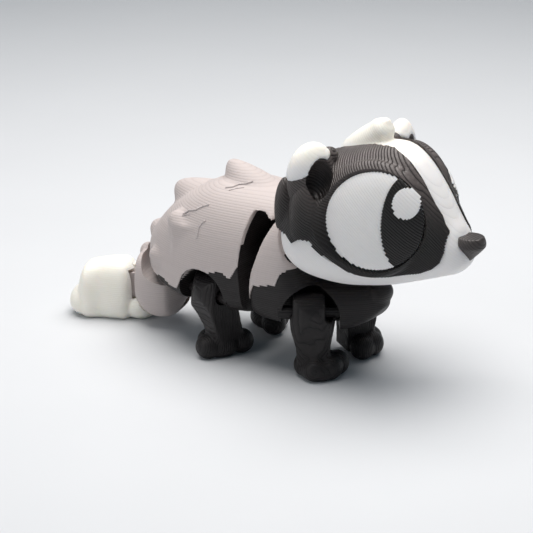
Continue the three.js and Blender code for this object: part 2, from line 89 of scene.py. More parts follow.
def lamp(name, azimuth, elevation, distance, size, power, colour):
    light = bpy.data.lights.new(name, "AREA")
    light.shape = "DISK"
    light.size = size
    light.energy = power
    light.color = colour
    holder = bpy.data.objects.new(name, light)
    scene.collection.objects.link(holder)
    holder.matrix_world = aimed(LOOK_AT + direction(azimuth, elevation) * distance, LOOK_AT)


lamp("lamp_over", 190, 82, 150, 0.195, 0.45, (1.0, 0.965, 0.935))
lamp("lamp_front", -20, 25, 520, 0.30, 0.40, (1.0, 0.98, 0.96))

world = bpy.data.worlds.new("soft room")
world.use_nodes = True
world.node_tree.nodes["Background"].inputs["Color"].default_value = (0.70, 0.86, 1.0, 1)
world.node_tree.nodes["Background"].inputs["Strength"].default_value = 0.18
scene.world = world

table_mesh = bmesh.new()
bmesh.ops.create_grid(table_mesh, x_segments=8, y_segments=8, size=1.5)
table_data = bpy.data.meshes.new("table")
table_mesh.to_mesh(table_data)
table_mesh.free()
table = bpy.data.objects.new("table", table_data)
scene.collection.objects.link(table)

sheet = bpy.data.materials.new("pale matt sheet")
sheet.use_nodes = True
sheet_shader = sheet.node_tree.nodes["Principled BSDF"]
sheet_shader.inputs["Roughness"].default_value = 0.6
sheet_shader.inputs["Specular IOR Level"].default_value = 0.25
fibre = sheet.node_tree.nodes.new("ShaderNodeTexNoise")
fibre.inputs["Scale"].default_value = 60.0
fibre.inputs["Detail"].default_value = 3.0
place = sheet.node_tree.nodes.new("ShaderNodeTexCoord")
tint = sheet.node_tree.nodes.new("ShaderNodeMix")
tint.data_type = "RGBA"
tint.inputs["A"].default_value = (0.635, 0.65, 0.67, 1)
tint.inputs["B"].default_value = (0.66, 0.675, 0.695, 1)
sheet.node_tree.links.new(place.outputs["Object"], fibre.inputs["Vector"])
sheet.node_tree.links.new(fibre.outputs["Fac"], tint.inputs["Factor"])
sheet.node_tree.links.new(tint.outputs["Result"], sheet_shader.inputs["Base Color"])
table_data.materials.append(sheet)

# Printed plastic.
# Every piece is drawn layer on layer by a fine nozzle, in matt black, warm grey, white and ivory
# filament. One shader group makes the beads of the layers, and each colour's material uses it,
# darkening its colour in the grooves between the beads as painted shade, so that the crests stand
# out lighter as painted highlight.

LAYER = 0.2


def socket(group, name, way, kind="NodeSocketFloat", value=None):
    made = group.interface.new_socket(name=name, in_out=way, socket_type=kind)
    if value is not None:
        made.default_value = value
    return made


def maths(tree, operation, *values, clamp=False):
    """A Math node of one operation, whose inputs are numbers or the outputs of other nodes."""
    node = tree.nodes.new("ShaderNodeMath")
    node.operation = operation
    node.use_clamp = clamp
    for slot, value in zip(node.inputs, values):
        if isinstance(value, (int, float)):
            slot.default_value = value
        else:
            tree.links.new(value, slot)
    return node.outputs[0]


layers = bpy.data.node_groups.new("printed layers", "ShaderNodeTree")
socket(layers, "Place", "INPUT", "NodeSocketVector")
socket(layers, "Layer", "INPUT", value=LAYER)
socket(layers, "Waver", "INPUT", value=0.05)
socket(layers, "Height", "OUTPUT")
socket(layers, "Groove", "OUTPUT")
socket(layers, "Tone", "OUTPUT")
given = layers.nodes.new("NodeGroupInput")
given_out = layers.nodes.new("NodeGroupOutput")
apart = layers.nodes.new("ShaderNodeSeparateXYZ")
layers.links.new(given.outputs["Place"], apart.inputs[0])
drift = layers.nodes.new("ShaderNodeTexNoise")
drift.inputs["Scale"].default_value = 0.45
drift.inputs["Detail"].default_value = 2.0
layers.links.new(given.outputs["Place"], drift.inputs["Vector"])
off_middle = maths(layers, "SUBTRACT", drift.outputs["Fac"], 0.5)
wavering = maths(layers, "MULTIPLY", off_middle, given.outputs["Waver"])
count = maths(layers, "DIVIDE", maths(layers, "ADD", apart.outputs["Z"], wavering), given.outputs["Layer"])
across = maths(layers, "SUBTRACT", maths(layers, "MULTIPLY", maths(layers, "FRACT", count), 2.0), 1.0)
bead = maths(layers, "SQRT", maths(layers, "SUBTRACT", 1.02, maths(layers, "MULTIPLY", across, across)))
which = layers.nodes.new("ShaderNodeTexWhiteNoise")
which.noise_dimensions = "1D"
layers.links.new(maths(layers, "FLOOR", count), which.inputs["W"])
grit = layers.nodes.new("ShaderNodeTexNoise")
grit.inputs["Scale"].default_value = 2.6
grit.inputs["Detail"].default_value = 4.0
layers.links.new(given.outputs["Place"], grit.inputs["Vector"])
offset = maths(layers, "MULTIPLY", which.outputs["Value"], 0.35)
rough = maths(layers, "MULTIPLY", grit.outputs["Fac"], 0.5)
layers.links.new(maths(layers, "ADD", maths(layers, "ADD", bead, offset), rough), given_out.inputs["Height"])
layers.links.new(maths(layers, "POWER", maths(layers, "ABSOLUTE", across), 4.0), given_out.inputs["Groove"])
layers.links.new(maths(layers, "ADD", maths(layers, "MULTIPLY", which.outputs["Value"], 0.5),
                       maths(layers, "MULTIPLY", grit.outputs["Fac"], 0.5)), given_out.inputs["Tone"])


def printed(name, colour, groove_shade, roughness, axis=(0, 0, 1), bump=0.05, waver=0.05, glow=0.0, sheen=0.35):
    """A filament material whose layers lie across an axis, given as a direction in the frame."""
    material = bpy.data.materials.new(name)
    material.use_nodes = True
    tree = material.node_tree
    shader = tree.nodes["Principled BSDF"]
    shader.inputs["Specular IOR Level"].default_value = sheen
    shader.inputs["Subsurface Weight"].default_value = glow
    shader.inputs["Subsurface Radius"].default_value = (1.0, 0.85, 0.7)
    shader.inputs["Subsurface Scale"].default_value = 0.0008
    at = tree.nodes.new("ShaderNodeTexCoord")
    turned_to = tree.nodes.new("ShaderNodeMapping")
    turned_to.inputs["Scale"].default_value = (1000, 1000, 1000)
    turned_to.inputs["Rotation"].default_value = (
        Vector(axis).rotation_difference(Vector((0, 0, 1))).to_euler("XYZ"))
    tree.links.new(at.outputs["Object"], turned_to.inputs["Vector"])
    beads = tree.nodes.new("ShaderNodeGroup")
    beads.node_tree = layers
    beads.inputs["Layer"].default_value = LAYER
    beads.inputs["Waver"].default_value = waver
    tree.links.new(turned_to.outputs["Vector"], beads.inputs["Place"])
    # Painted shade: the base colour turns to the darker groove_shade colour in the valleys between the beads, mixed
    # with a random tone per layer.
    mixed = tree.nodes.new("ShaderNodeMix")
    mixed.name = "filament"
    mixed.data_type = "RGBA"
    mixed.inputs["A"].default_value = (*colour, 1)
    mixed.inputs["B"].default_value = (*groove_shade, 1)
    share = maths(tree, "ADD", maths(tree, "MULTIPLY", beads.outputs["Groove"], 0.7),
                  maths(tree, "MULTIPLY", beads.outputs["Tone"], 0.3), clamp=True)
    tree.links.new(share, mixed.inputs["Factor"])
    tree.links.new(mixed.outputs["Result"], shader.inputs["Base Color"])
    tree.links.new(maths(tree, "ADD", roughness - 0.06, maths(tree, "MULTIPLY", beads.outputs["Tone"], 0.16)),
                   shader.inputs["Roughness"])
    relief = tree.nodes.new("ShaderNodeBump")
    relief.inputs["Strength"].default_value = 1.0
    relief.inputs["Distance"].default_value = bump * 0.001
    tree.links.new(beads.outputs["Height"], relief.inputs["Height"])
    tree.links.new(relief.outputs["Normal"], shader.inputs["Normal"])
    return material


# Each groove_shade colour is its filament's colour darkened, as painted shade for the valleys between the layer
# beads.
BLACK = dict(colour=(0.013, 0.0100, 0.0102), groove_shade=(0.0025, 0.002, 0.0022), roughness=0.45, sheen=0.34)
# FACE_BLACK is a darker copy of the same black filament: painted shade that keeps the front-facing black of the
# face, pupils and ears dark.
FACE_BLACK = dict(colour=(0.0075, 0.0056, 0.0054), groove_shade=(0.0015, 0.0012, 0.0012), roughness=0.38, sheen=0.45)
GREY = dict(colour=(0.545, 0.484, 0.468), groove_shade=(0.475, 0.42, 0.407), roughness=0.58, glow=0.15, sheen=0.3)
WHITE = dict(colour=(0.83, 0.815, 0.805), groove_shade=(0.765, 0.75, 0.755), roughness=0.44, glow=0.35, sheen=0.4)
IVORY = dict(colour=(0.95, 0.91, 0.83), groove_shade=(0.92, 0.87, 0.77), roughness=0.42, glow=0.45, sheen=0.42)

# Head.
# One large hollow-cheeked form in white filament, with a tuft on the crown. Above 21.5 mm of height
# its white turns to a lighter ivory, as painted highlight for the lamp overhead on the tuft, crown and
# ear rolls. It was printed tilted back, so its layers lie across a line that points forward and up.

HEAD_TURN = -3.5
HEAD_LAYERS_RISE = 45.0
HEAD_ROWS = [
    (-3.4, 6.0, 19.0, 12.0, 15.4), (-2.2, 7.4, 20.3, 10.9, 15.2), (-0.8, 8.0, 21.5, 10.1, 15.0),
    (0.8, 7.9, 22.2, 9.7, 15.0), (2.8, 7.2, 22.8, 9.5, 15.2), (4.8, 6.1, 23.2, 9.7, 15.5),
    (6.4, 5.2, 23.2, 10.0, 15.8), (8.0, 4.3, 22.4, 10.5, 15.9), (9.4, 3.5, 21.1, 11.0, 15.7),
    (10.8, 2.8, 19.3, 11.5, 15.4), (12.2, 2.2, 17.2, 12.05, 14.8), (13.4, 1.85, 15.9, 12.45, 14.2),
]


def along(rows, column, x):
    """The value at x of one column of a table of rows, on a smooth curve through the rows."""
    last = len(rows) - 1
    i = 0
    while i < last - 1 and x > rows[i + 1][0]:
        i += 1
    before, a, b, after = rows[max(i - 1, 0)], rows[i], rows[i + 1], rows[min(i + 2, last)]
    span = b[0] - a[0]
    t = min(max((x - a[0]) / span, 0.0), 1.0)
    slope_a = (b[column] - before[column]) / (b[0] - before[0])
    slope_b = (after[column] - a[column]) / (after[0] - a[0])
    return ((2 * t**3 - 3 * t**2 + 1) * a[column] + (t**3 - 2 * t**2 + t) * span * slope_a
            + (3 * t**2 - 2 * t**3) * b[column] + (t**3 - t**2) * span * slope_b)


def loft(rows, back, front, upper, lower, grow=0.0, rings=96, sides=96):
    """A closed form along X whose sections follow the rows.

    back and front are the lengths over which its ends close, upper and lower the squareness of
    each half section, grow the thickness added all over.
    """
    start = rows[0][0] - back * 0.3 - grow
    end = rows[-1][0] + front * 0.3 + grow
    form = bmesh.new()
    bmesh.ops.create_uvsphere(form, u_segments=sides, v_segments=rings, radius=1.0)
    for v in form.verts:
        x = start + (end - start) * (1 - min(max(v.co.z, -1), 1)) / 2
        angle = atan2(v.co.y, v.co.x)
        near_back = min(max((x - start) / back, 0), 1)
        near_front = min(max((end - x) / front, 0), 1)
        cap = sqrt(1 - (1 - near_back) ** 2) * sqrt(1 - (1 - near_front) ** 2)
        middle = along(rows, 4, x)
        rise = (along(rows, 2, x) + grow - middle) * cap
        drop = (middle + grow - along(rows, 3, x)) * cap
        bend = 2 / (upper if angle > 0 else lower)
        out, up = cos(angle), sin(angle)
        y = (along(rows, 1, x) + grow) * cap * copysign(abs(out) ** bend, out)
        z = middle + (rise if angle > 0 else drop) * copysign(abs(up) ** bend, up)
        v.co = (x, y, z)
    bmesh.ops.recalc_face_normals(form, faces=form.faces)
    # The later cuts only work on a form whose faces point outward.
    if form.calc_volume(signed=True) < 0:
        bmesh.ops.reverse_faces(form, faces=form.faces)
    return form


def ball(x, y, z, radii, detail=40):
    form = bmesh.new()
    bmesh.ops.create_uvsphere(form, u_segments=detail, v_segments=detail * 2 // 3, radius=1.0)
    bmesh.ops.transform(form, verts=form.verts,
                        matrix=Matrix.Translation((x, y, z)) @ Matrix.Diagonal((*radii, 1)))
    return form


def fur_point(foot, tip, thick, blunt=0.2, detail=48):
    """A point of fur: round at its foot, drawn out to a tip where blunt of its thickness is left."""
    way = Vector(tip) - Vector(foot)
    form = bmesh.new()
    bmesh.ops.create_uvsphere(form, u_segments=detail, v_segments=detail, radius=1.0)
    for v in form.verts:
        rise = v.co.z
        wide = thick * (1 - (1 - blunt) * rise if rise > 0 else 1)
        v.co = (v.co.x * wide, v.co.y * wide, rise * (way.length if rise > 0 else thick))
    turn = Vector((0, 0, 1)).rotation_difference(way).to_matrix().to_4x4()
    bmesh.ops.transform(form, verts=form.verts, matrix=Matrix.Translation(foot) @ turn)
    return form


def prism(points, y0, y1):
    """A slab of an outline in the XZ plane, from y0 to y1."""
    form = bmesh.new()
    face = form.faces.new([form.verts.new((x, y0, z)) for x, z in points])
    made = bmesh.ops.extrude_face_region(form, geom=[face])
    moved = [v for v in made["geom"] if isinstance(v, bmesh.types.BMVert)]
    bmesh.ops.translate(form, verts=moved, vec=(0, y1 - y0, 0))
    bmesh.ops.recalc_face_normals(form, faces=form.faces)
    return form


def moved(form, matrix):
    """A copy of a form, moved by a matrix."""
    copy = form.copy()
    bmesh.ops.transform(copy, verts=copy.verts, matrix=matrix)
    if matrix.determinant() < 0:
        bmesh.ops.reverse_faces(copy, faces=copy.faces)
    return copy


MIRROR = Matrix.Diagonal((1, -1, 1, 1))


def loose(form, name):
    """A form as an object of the scene, for the moment."""
    data = bpy.data.meshes.new(name)
    form.to_mesh(data)
    holder = bpy.data.objects.new(name, data)
    scene.collection.objects.link(holder)
    return holder


def shaped(blank, *steps):
    """The blank after some steps: UNION, DIFFERENCE or INTERSECT with a second form, or MELT.

    MELT rounds the edges and runs joined forms together, as soft plastic does. Its value is how
    fine it works and how often it smooths.
    """
    holders = [loose(blank, "blank")]
    for way, other in steps:
        if way == "MELT":
            size, times = other
            melt = holders[0].modifiers.new("melt", "REMESH")
            melt.mode = "VOXEL"
            melt.voxel_size = size
            calm = holders[0].modifiers.new("calm", "SMOOTH")
            calm.factor = 0.5
            calm.iterations = times
            continue
        holders.append(loose(other, "tool"))
        step = holders[0].modifiers.new(way, "BOOLEAN")
        step.operation = way
        step.solver = "MANIFOLD"
        step.object = holders[-1]
    seen = holders[0].evaluated_get(bpy.context.evaluated_depsgraph_get())
    result = bmesh.new()
    result.from_mesh(seen.to_mesh())
    seen.to_mesh_clear()
    for holder in holders:
        data = holder.data
        bpy.data.objects.remove(holder)
        bpy.data.meshes.remove(data)
    return result


def both(way, form):
    """The same step on the right and on the left."""
    return (way, form), (way, moved(form, MIRROR))


def stepped(line, axis, layer=LAYER, every=0.04):
    """A line of XZ points with the small steps that printed layers give it, across an axis."""
    along_axis = Vector(axis).normalized()
    in_layer = Vector((-along_axis.y, along_axis.x))
    points = []
    for (x0, z0), (x1, z1) in zip(line, line[1:]):
        a, b = Vector((x0, z0)), Vector((x1, z1))
        pieces = max(int((b - a).length / every), 1)
        for i in range(pieces):
            p = a.lerp(b, i / pieces)
            u = (floor(p.dot(along_axis) / layer) + 0.5) * layer
            q = along_axis * u + in_layer * p.dot(in_layer)
            if points and (q - points[-1]).length < 1e-4:
                continue
            if len(points) > 1 and abs((q - points[-1]).cross(points[-1] - points[-2])) < 1e-6:
                if (q - points[-1]).dot(points[-1] - points[-2]) > 0:
                    points[-1] = q
                    continue
            points.append(q)
    points.append(Vector(line[-1]))
    return [tuple(p) for p in points]


def side_of(line, above):
    """Everything on one side of a line of XZ points: above it or below it."""
    edge = 40 if above else -15
    points = list(line) + [(line[-1][0] + 25, line[-1][1]), (line[-1][0] + 25, edge),
                           (line[0][0] - 25, edge), (line[0][0] - 25, line[0][1])]
    return prism(points, -25, 25)


def box_of(x0, x1, y0, y1, z0, z1):
    form = bmesh.new()
    bmesh.ops.create_cube(form, size=1.0)
    bmesh.ops.transform(form, verts=form.verts, matrix=Matrix.Translation(
        ((x0 + x1) / 2, (y0 + y1) / 2, (z0 + z1) / 2)) @ Matrix.Diagonal((x1 - x0, y1 - y0, z1 - z0, 1)))
    return form


def dressed(name, form, body, material, nodes, place=Matrix.Identity(4), crease=32):
    """The finished piece: moved into the frame, riding on its body, in place of its nodes."""
    bmesh.ops.transform(form, verts=form.verts, matrix=TO_FRAME @ place)
    if place.determinant() < 0:
        bmesh.ops.reverse_faces(form, faces=form.faces)
    for face in form.faces:
        face.smooth = True
    for edge in form.edges:
        edge.smooth = len(edge.link_faces) != 2 or edge.calc_face_angle() < radians(crease)
    data = bpy.data.meshes.new(name)
    form.to_mesh(data)
    form.free()
    piece = bpy.data.objects.new(name, data)
    scene.collection.objects.link(piece)
    data.materials.append(material)
    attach(piece, body)
    if nodes:
        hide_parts(*nodes)
    return piece


def about(place, angle):
    """A turn of some degrees about an upright line through a place."""
    turn = Matrix.Rotation(radians(angle), 4, "Z")
    return Matrix.Translation(place) @ turn @ Matrix.Translation(-Vector(place))


ON_NECK = about(NECK, HEAD_TURN)
head_axis = ON_NECK.to_3x3() @ Vector((cos(radians(HEAD_LAYERS_RISE)), 0, sin(radians(HEAD_LAYERS_RISE))))


def head_form(grow, fine=96):
    return loft(HEAD_ROWS, back=2.6, front=1.4, upper=2.05, lower=2.5, grow=grow, rings=fine, sides=fine)


EYE = dict(x=6.4, y=5.0, z=17.15, turn=25, up=8, half=4.85, dome=1.4, sunk=0.72)
OPENING = dict(ahead=0.22, up=-0.1, radius=4.5, floor=0.9)


def on_face(part, lift=0.0):
    """From a part's own plane, whose -Y looks outwards, to the right side of the head."""
    return (Matrix.Translation((part["x"], -part["y"], part["z"])) @ Matrix.Rotation(radians(part["turn"]), 4, "Z")
            @ Matrix.Translation((0, lift, 0)) @ Matrix.Rotation(radians(-part["up"]), 4, "X"))


def round_line(x, z, half, high, points=180):
    line = [(x + half * cos(2 * pi * i / points), z + high * sin(2 * pi * i / points)) for i in range(points)]
    return line + line[:1]


head_layers_in_eye = on_face(EYE).to_3x3().inverted() @ Vector(
    (cos(radians(HEAD_LAYERS_RISE)), 0, sin(radians(HEAD_LAYERS_RISE))))
eye_axis = Vector((head_layers_in_eye.x, head_layers_in_eye.z))
eye_layer = LAYER / eye_axis.length
opening_line = round_line(OPENING["ahead"], OPENING["up"], OPENING["radius"], OPENING["radius"])
eye_opening = moved(
    prism(stepped(opening_line, eye_axis, eye_layer)[:-1], -5.0, OPENING["floor"]), on_face(EYE))


def flare_cut(wider, deeper):
    """A wide cone that opens outwards from the eye's round opening."""
    form = bmesh.new()
    bmesh.ops.create_cone(form, cap_ends=True, segments=160, radius1=OPENING["radius"] + wider + 7.0,
                          radius2=OPENING["radius"] + wider, depth=5.0)
    bmesh.ops.transform(form, verts=form.verts, matrix=on_face(EYE) @ Matrix.Translation(
        (OPENING["ahead"], 0.35 + deeper - 2.5, OPENING["up"])) @ Matrix.Rotation(radians(-90), 4, "X"))
    return form


flare = flare_cut(0, 0)
flare_bed = flare_cut(0.5, 0.4)
EAR = dict(x=0.4, y=6.1, z=20.3, turn=70, up=0)
LEFT_EAR = Matrix.Translation((1.3, 0, -0.4)) @ MIRROR
ear_hollow = moved(ball(0.2, -0.9, -0.1, (1.45, 1.3, 1.95), 64), on_face(EAR))
hollow_bed = moved(ball(0.2, -0.9, -0.1, (1.85, 1.7, 2.35), 64), on_face(EAR))
tuft = [fur_point((1.5, 0, 21.4), (4.6, 0, 25.2), 1.9, 0.7), ball(3.75, 0, 23.95, (1.3, 1.1, 1.2))]
head = shaped(head_form(0), *[("UNION", form) for form in tuft], ("MELT", (0.16, 9)),
              *both("DIFFERENCE", eye_opening),
              *both("DIFFERENCE", flare_bed), ("DIFFERENCE", hollow_bed),
              ("DIFFERENCE", moved(hollow_bed, LEFT_EAR)))

head_white = printed("white filament, head", axis=head_axis, bump=0.018, **WHITE)


def faded(material, target, low, high, colour):
    """Lets a colour input turn to another colour between two heights of the frame, in metres."""
    tree = material.node_tree
    at = tree.nodes.new("ShaderNodeTexCoord")
    parts = tree.nodes.new("ShaderNodeSeparateXYZ")
    tree.links.new(at.outputs["Object"], parts.inputs[0])
    rise = tree.nodes.new("ShaderNodeMapRange")
    rise.interpolation_type = "SMOOTHSTEP"
    rise.inputs["From Min"].default_value = low
    rise.inputs["From Max"].default_value = high
    tree.links.new(parts.outputs["Z"], rise.inputs["Value"])
    blend = tree.nodes.new("ShaderNodeMix")
    blend.data_type = "RGBA"
    if target.is_linked:
        tree.links.new(target.links[0].from_socket, blend.inputs["A"])
    else:
        blend.inputs["A"].default_value = target.default_value
    blend.inputs["B"].default_value = (*colour, 1)
    tree.links.new(rise.outputs["Result"], blend.inputs["Factor"])
    tree.links.new(blend.outputs["Result"], target)


head_shader = head_white.node_tree.nodes["Principled BSDF"]
# Painted highlight: the white of the head and the ear rolls turns to a lighter ivory towards the top, between 21.5
# and 23.2 mm of height.
faded(head_white, head_shader.inputs["Base Color"], 0.0215, 0.0232, IVORY["colour"])
dressed("head_form", head, "head", head_white, ["head_core"], ON_NECK)

# Mask.
# A black patch on each side of the head, from the ear round the eye to the nose, printed a little
# proud of the white. Its edges step from layer to layer, and a lip of it rings each eye.

MASK_LOWER = [
    (-5.0, 15.2), (-3.2, 15.6), (-1.4, 15.3), (-0.9, 15.2), (-0.3, 14.5), (0.6, 15.1), (1.5, 15.0), (2.1, 14.2),
    (3.2, 13.3), (4.7, 12.0), (6.3, 11.6), (7.4, 11.7), (8.6, 12.0), (10.0, 12.3), (11.2, 12.9), (11.9, 13.6),
    (12.3, 14.6), (12.4, 16.2),
]
STRIPE_HALF = 1.5
MASK_FRONT = 12.4
MASK_PROUD = 0.2

layer_axis = (cos(radians(HEAD_LAYERS_RISE)), sin(radians(HEAD_LAYERS_RISE)))
mask_area = side_of(stepped(MASK_LOWER, layer_axis), True)
teeth = [(i * LAYER, -STRIPE_HALF - 0.07 * sin(i * 2.4) - 0.05 * sin(i * 0.9)) for i in range(-60, 220)]
stripe_wall = prism(teeth + [(teeth[-1][0], -25), (teeth[0][0], -25)], -40, 40)
bmesh.ops.transform(stripe_wall, verts=stripe_wall.verts, matrix=(
    Matrix.Rotation(radians(-HEAD_LAYERS_RISE), 4, "Y") @ Matrix.Rotation(radians(-90), 4, "X")))
brow = moved(ball(-0.2, 0, OPENING["up"], (5.3, 1.8, 5.4), 96), on_face(EYE, 0.98))
cheeks = [ball(0.4, -7.3, 17.2, (1.3, 1.35, 3.4)), ball(-1.9, -6.9, 17.2, (1.0, 1.1, 3.0))]
mask_blank = shaped(head_form(MASK_PROUD, 128), ("UNION", brow), *[("UNION", form) for form in cheeks],
                    ("MELT", (0.15, 5)), ("INTERSECT", mask_area), ("INTERSECT", stripe_wall),
                    ("INTERSECT", box_of(-25, MASK_FRONT, -25, 0, -5, 40)), ("DIFFERENCE", head_form(-1.8, 64)),
                    ("DIFFERENCE", eye_opening), ("DIFFERENCE", flare))
mask_black = printed("black filament, head", axis=head_axis, bump=0.085, **FACE_BLACK)
# Painted highlight: the black of the mask and ear cups turns to a lighter brownish grey towards the top, between
# 15.0 and 22.2 mm of height, for the light caught on the top faces.
faded(mask_black, mask_black.node_tree.nodes["filament"].inputs["A"], 0.0150, 0.0222, (0.11, 0.092, 0.088))
pupil_black = printed("black filament, pupil", axis=head_axis, bump=0.07, **FACE_BLACK)
for name, hand in (("R", Matrix.Identity(4)), ("L", MIRROR)):
    hollow = ear_hollow if name == "R" else moved(moved(ear_hollow, LEFT_EAR), MIRROR)
    mask = shaped(mask_blank, ("DIFFERENCE", hollow))
    dressed(f"head_mask_{name}_patch", mask, "head", mask_black,
            [f"head_mask_{name}"], ON_NECK @ hand)

# Eyes.
# Each is a shallow white dome in the mask's opening, with a tall black pupil and a round white
# glint laid into it, all three printed in one go with the head.

PUPIL = dict(ahead=2.85, high=4.25, half=1.9)
GLINT = dict(ahead=3.08, up=1.78, half=1.22, high=1.38)
eye_white = printed("white filament, eye", axis=head_axis, bump=0.022, **WHITE)
eye_round = stepped(round_line(OPENING["ahead"], OPENING["up"], OPENING["radius"] - 0.04, OPENING["radius"] - 0.04),
                    eye_axis, eye_layer)[:-1]
dome = shaped(ball(OPENING["ahead"], 0, OPENING["up"], (EYE["half"], EYE["dome"], EYE["half"]), 112),
              ("INTERSECT", prism(eye_round, -3, 3)))
pupil_line = stepped(round_line(PUPIL["ahead"], -0.1, PUPIL["half"], PUPIL["high"]), eye_axis, eye_layer)[:-1]
pupil = shaped(ball(OPENING["ahead"], 0, OPENING["up"], (EYE["half"], EYE["dome"] + 0.12, EYE["half"]), 96),
               ("INTERSECT", prism(pupil_line, -3, 0.2)), ("INTERSECT", prism(eye_round, -3, 3)))
glint_line = stepped(round_line(GLINT["ahead"], GLINT["up"], GLINT["half"], GLINT["high"]), eye_axis, eye_layer)[:-1]
glint = shaped(ball(OPENING["ahead"], 0, OPENING["up"], (EYE["half"], EYE["dome"] + 0.26, EYE["half"]), 96),
               ("INTERSECT", prism(glint_line, -3, 0.2)))
for name, hand in (("R", Matrix.Identity(4)), ("L", MIRROR)):
    dressed(f"eye_{name}_dome", moved(dome, on_face(EYE, EYE["sunk"])), "head", eye_white,
            [f"eye_{name}"], ON_NECK @ hand)
    dressed(f"pupil_{name}_lens", moved(pupil, on_face(EYE, EYE["sunk"])), "head", pupil_black,
            [f"pupil_{name}"], ON_NECK @ hand)
    dressed(f"glint_{name}_dot", moved(glint, on_face(EYE, EYE["sunk"])), "head", eye_white,
            [f"glint_{name}"], ON_NECK @ hand)

# Ears.
# Round black cups at the back of the mask, each with a thick white roll along its upper edge. The
# left one sits a little further forward than the right one, as the two were modelled by hand.

EAR_HALF, EAR_HIGH, EAR_DEPTH = 2.5, 3.3, 1.3
ear_corner = moved(ball(2.0, 0.2, 1.75, (0.95, 0.75, 0.85)), on_face(EAR))
ear = shaped(moved(ball(0, 0, 0, (EAR_HALF, EAR_DEPTH, EAR_HIGH), 64), on_face(EAR)), ("UNION", ear_corner),
             ("DIFFERENCE", ear_hollow), ("MELT", (0.12, 4)))
roll_hollow = moved(ball(0.3, -1.0, -0.25, (EAR_HALF - 0.9, 1.4, EAR_HIGH - 1.0)), on_face(EAR))
roll_area = moved(box_of(-12, 12, -12, 12, 0, 12),
                  Matrix.Translation((0, -6.1, 21.7)) @ Matrix.Rotation(radians(26), 4, "X"))
roll = shaped(moved(ball(0, 0, 0, (EAR_HALF + 0.1, EAR_DEPTH + 0.15, EAR_HIGH + 0.1), 64), on_face(EAR)),
              ("DIFFERENCE", roll_hollow), ("INTERSECT", roll_area), ("MELT", (0.12, 10)))
for name, hand in (("R", Matrix.Identity(4)), ("L", LEFT_EAR)):
    dressed(f"ear_{name}_cup", ear.copy(), "head", mask_black,
            [f"ear_{name}"], ON_NECK @ hand)
    dressed(f"ear_{name}_roll", roll.copy(), "head", head_white,
            [f"ear_rim_{name}"], ON_NECK @ hand)

# Nose.
# A small black pad on the tip of the muzzle, ringed by its layers.

nose = shaped(fur_point((13.75, 0, 15.2), (13.6, 0, 13.55), 1.38, 0.3),
              ("INTERSECT", box_of(12, 16, -3, 3, 12, 15.95)),
              ("MELT", (0.09, 4)))
# Painted highlight: the nose is given a much lighter black than the rest of the face, for the light caught on its
# top.
nose_black = printed("black filament, nose", axis=head_axis, bump=0.06,
                     **{**FACE_BLACK, "colour": (0.065, 0.055, 0.053)})
dressed("nose_pad", nose, "head", nose_black, ["nose"], ON_NECK)

# Front body.
# A black chest with a grey mantle over the shoulders. The chest carries the neck pin and the
# tongue that the rear body turns on, and has an arch on each side for the leg.

FRONT_ROWS = [
    (-7.6, 6.0, 12.0, 5.0, 8.0), (-6.0, 6.4, 15.4, 4.7, 8.2), (-4.6, 6.4, 16.3, 4.6, 8.2),
    (-3.6, 6.3, 16.0, 4.6, 8.0), (-2.8, 6.1, 12.6, 4.6, 7.6), (-1.6, 5.7, 9.7, 4.5, 7.1),
    (0.4, 4.7, 9.2, 4.5, 6.9), (1.8, 3.7, 9.1, 4.7, 6.9), (3.2, 2.5, 9.0, 5.4, 7.1), (4.2, 1.7, 8.7, 6.1, 7.3),
]
MANTLE_LINE = [
    (-7.8, 6.4), (-7.1, 7.1), (-6.4, 8.6), (-3.9, 9.2), (-3.5, 10.3), (-2.9, 10.7), (-2.0, 10.6), (-0.6, 11.6),
]
FRONT_REAR_FACE = [(-4.5, 20), (-4.6, 15.6), (-5.7, 13.0), (-6.7, 9.9), (-7.3, 7.2), (-7.1, 5.2), (-6.6, 3)]
WAIST = Vector((-10.0, 0, 0))
WAIST_LOW, WAIST_HIGH = 8.5, 13.2
TONGUE_HALF = 1.0
BARREL = 1.4
WELL = dict(radius=2.75, drop=0.15, depth=2.3)
FRONT_LEG = dict(x=-1.4, y=4.1, z=6.4, turn=35, lean=0.1, dome=7.0)
REAR_LEG = dict(x=-12.1, y=5.1, z=6.4, turn=-15, lean=1.2, dome=5.0)


def rod(axis, length, radius, centre=(0, 0, 0), sides=64):
    form = bmesh.new()
    bmesh.ops.create_cone(form, cap_ends=True, segments=sides, radius1=radius, radius2=radius, depth=length)
    turn = {"x": Euler((0, pi / 2, 0)), "y": Euler((pi / 2, 0, 0)), "z": Euler((0, 0, 0))}[axis]
    bmesh.ops.transform(form, verts=form.verts,
                        matrix=Matrix.Translation(centre) @ turn.to_matrix().to_4x4())
    return form


def at_leg(leg):
    return Matrix.Translation((leg["x"], -leg["y"], 0)) @ Matrix.Rotation(radians(leg["turn"]), 4, "Z")


def well(leg):
    """The arch that a leg stands in, open below and outwards."""
    low = leg["z"] - WELL["drop"]
    reach = WELL["depth"] + 8
    arch = rod("y", reach, WELL["radius"], (0, WELL["depth"] - reach / 2, low))
    below = box_of(-WELL["radius"], WELL["radius"], -8, WELL["depth"], -3, low)
    return moved(shaped(arch, ("UNION", below)), at_leg(leg))


def front_form(grow, fine=96):
    return loft(FRONT_ROWS, back=1.2, front=1.6, upper=2.8, lower=4.2, grow=grow, rings=fine, sides=fine)


